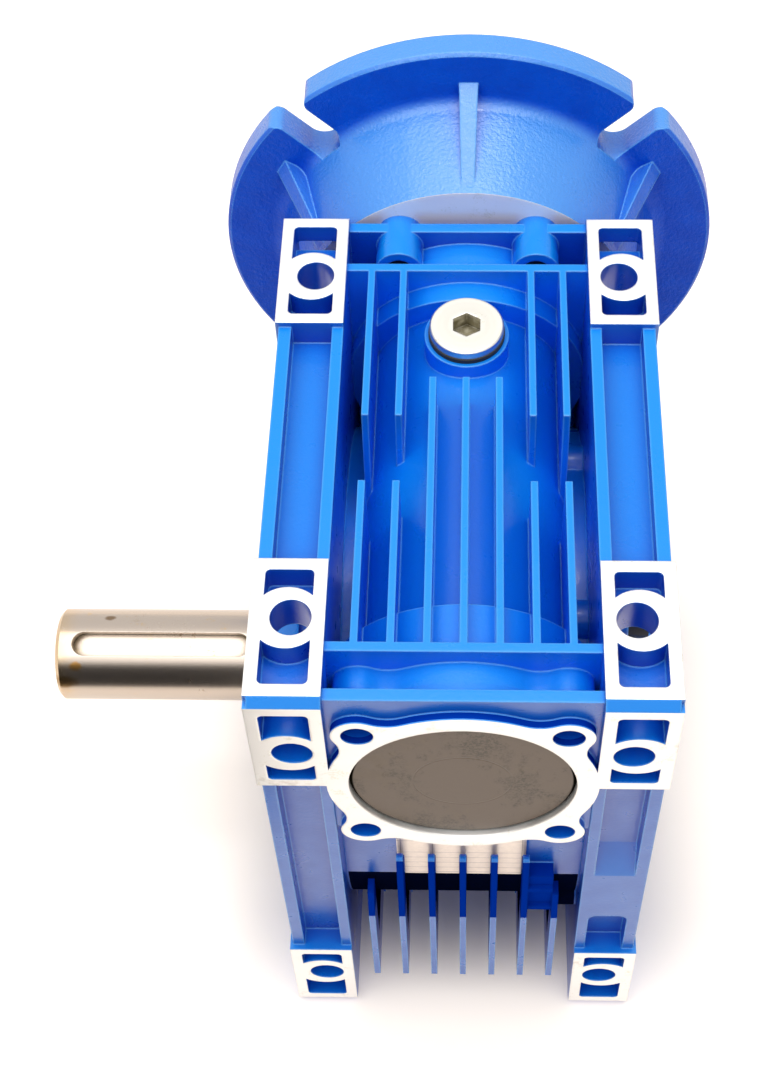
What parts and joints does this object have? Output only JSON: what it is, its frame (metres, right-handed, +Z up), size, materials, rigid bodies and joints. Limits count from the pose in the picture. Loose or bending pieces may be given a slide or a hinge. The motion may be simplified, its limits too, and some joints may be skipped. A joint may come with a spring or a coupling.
{
  "type": "worm gear reducer",
  "caption": "Square aluminium worm gear reducer with ribbed casing, round motor flange, hollow input bore and a plug-in output shaft to one side.",
  "frame": {"origin": "centre of the four foot holes, on the bottom machined face", "axes": "+X away from the output shaft end along the output axis, +Y along the worm towards the motor, +Z up"},
  "size_m": [0.2135, 0.212, 0.241],
  "materials": {
    "painted_casting": "blue gloss enamel over die-cast aluminium, machined faces bare",
    "bronze": "cut bronze, oiled",
    "cast_iron": "turned cast iron",
    "ground_steel": "ground steel with light rust spots",
    "bearing_steel": "polished bearing steel",
    "zinc_steel": "zinc plated steel",
    "black_steel": "blackened steel",
    "black_rubber": "matt black nitrile rubber",
    "cage_plastic": "natural polyamide"
  },
  "bodies": {
    "housing": {"casing": "painted_casting", "casing_left_side": "painted_casting", "casing_right_side": "painted_casting", "side_cover": "painted_casting", "side_cover_oring": "black_rubber", "side_cover_screws": "black_steel", "worm_circlip_near": "black_steel", "worm_circlip_far": "black_steel", "input_seal": "black_rubber", "output_seal_left": "black_rubber", "output_seal_right": "black_rubber", "end_cap": "black_rubber", "filler_plug": "zinc_steel", "filler_plug_washer": "black_rubber", "drain_plug": "zinc_steel", "drain_plug_washer": "black_rubber", "motor_flange": "painted_casting", "motor_flange_oring": "black_rubber", "motor_flange_screws": "black_steel", "worm_bearing_near_outer_ring": "bearing_steel", "worm_bearing_far_outer_ring": "bearing_steel", "wheel_bearing_left_outer_ring": "bearing_steel", "wheel_bearing_right_outer_ring": "bearing_steel"},
    "output": {"wheel_rim": "bronze", "wheel_hub": "cast_iron", "output_shaft": "ground_steel", "output_key": "ground_steel", "output_washer": "zinc_steel", "output_bolt": "zinc_steel", "wheel_bearing_left_inner_ring": "bearing_steel", "wheel_bearing_right_inner_ring": "bearing_steel"},
    "worm": {"worm_shaft": "ground_steel", "worm_bearing_near_inner_ring": "bearing_steel", "worm_bearing_far_inner_ring": "bearing_steel"},
    "worm_bearing_near_set": {"worm_bearing_near_cage": "cage_plastic", "worm_bearing_near_balls": "bearing_steel"},
    "worm_bearing_far_set": {"worm_bearing_far_cage": "cage_plastic", "worm_bearing_far_balls": "bearing_steel"},
    "wheel_bearing_left_set": {"wheel_bearing_left_cage": "cage_plastic", "wheel_bearing_left_balls": "bearing_steel"},
    "wheel_bearing_right_set": {"wheel_bearing_right_cage": "cage_plastic", "wheel_bearing_right_balls": "bearing_steel"}
  },
  "joints": [
    {"name": "output_spin", "type": "hinge", "parent": "housing", "child": "output", "pos_m": [0, 0, 0.086], "axis": [1, 0, 0], "continuous": true},
    {"name": "worm_spin", "type": "hinge", "parent": "housing", "child": "worm", "pos_m": [0, 0, 0.161], "axis": [0, 1, 0], "continuous": true},
    {"name": "worm_bearing_near_orbit", "type": "hinge", "parent": "housing", "child": "worm_bearing_near_set", "pos_m": [0, 0, 0.161], "axis": [0, 1, 0], "continuous": true},
    {"name": "worm_bearing_far_orbit", "type": "hinge", "parent": "housing", "child": "worm_bearing_far_set", "pos_m": [0, 0, 0.161], "axis": [0, 1, 0], "continuous": true},
    {"name": "wheel_bearing_left_orbit", "type": "hinge", "parent": "housing", "child": "wheel_bearing_left_set", "pos_m": [0, 0, 0.086], "axis": [1, 0, 0], "continuous": true},
    {"name": "wheel_bearing_right_orbit", "type": "hinge", "parent": "housing", "child": "wheel_bearing_right_set", "pos_m": [0, 0, 0.086], "axis": [1, 0, 0], "continuous": true}
  ],
  "couplings": [
    {"joint": "worm_spin", "follows": "output_spin", "ratio": 30},
    {"joint": "worm_bearing_near_orbit", "follows": "output_spin", "ratio": 11.902},
    {"joint": "worm_bearing_far_orbit", "follows": "output_spin", "ratio": 11.902},
    {"joint": "wheel_bearing_left_orbit", "follows": "output_spin", "ratio": 0.43077},
    {"joint": "wheel_bearing_right_orbit", "follows": "output_spin", "ratio": 0.43077}
  ]
}
